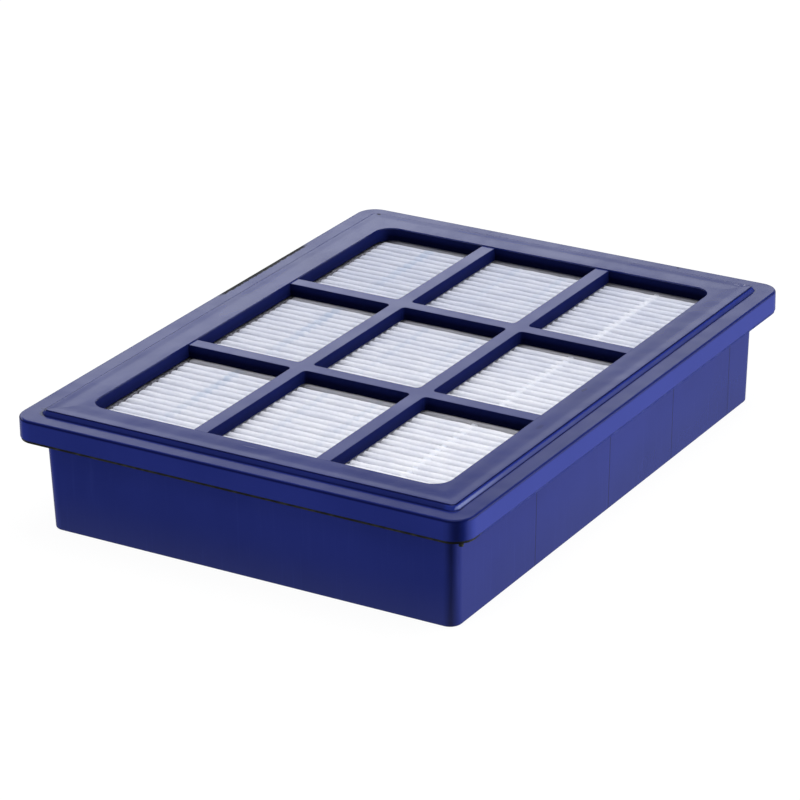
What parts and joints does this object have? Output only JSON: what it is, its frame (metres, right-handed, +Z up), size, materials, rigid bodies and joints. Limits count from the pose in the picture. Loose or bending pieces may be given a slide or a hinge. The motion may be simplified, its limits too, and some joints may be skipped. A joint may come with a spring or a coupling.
{
  "type": "pleated exhaust filter cartridge",
  "caption": "Shallow plastic tray with a flange and a window grid over a pleated white filter pack, with a rubber seal under the flange",
  "frame": {"origin": "centre of the bottom rim, which the cartridge stands on", "axes": "X along the short side, Y along the long side, +Z up through the window grid"},
  "size_m": [0.13, 0.172, 0.0326],
  "materials": {
    "frame_plastic": "satin",
    "filter_paper": "matte",
    "hot_melt": "satin",
    "potting_resin": "matte",
    "seal_rubber": "matte"
  },
  "bodies": {
    "root": {"frame": "frame_plastic", "pleated_media": "filter_paper", "glue_line_1": "hot_melt", "glue_line_2": "hot_melt", "glue_line_3": "hot_melt", "glue_line_4": "hot_melt", "potting": "potting_resin", "seal": "seal_rubber"}
  },
  "joints": []
}
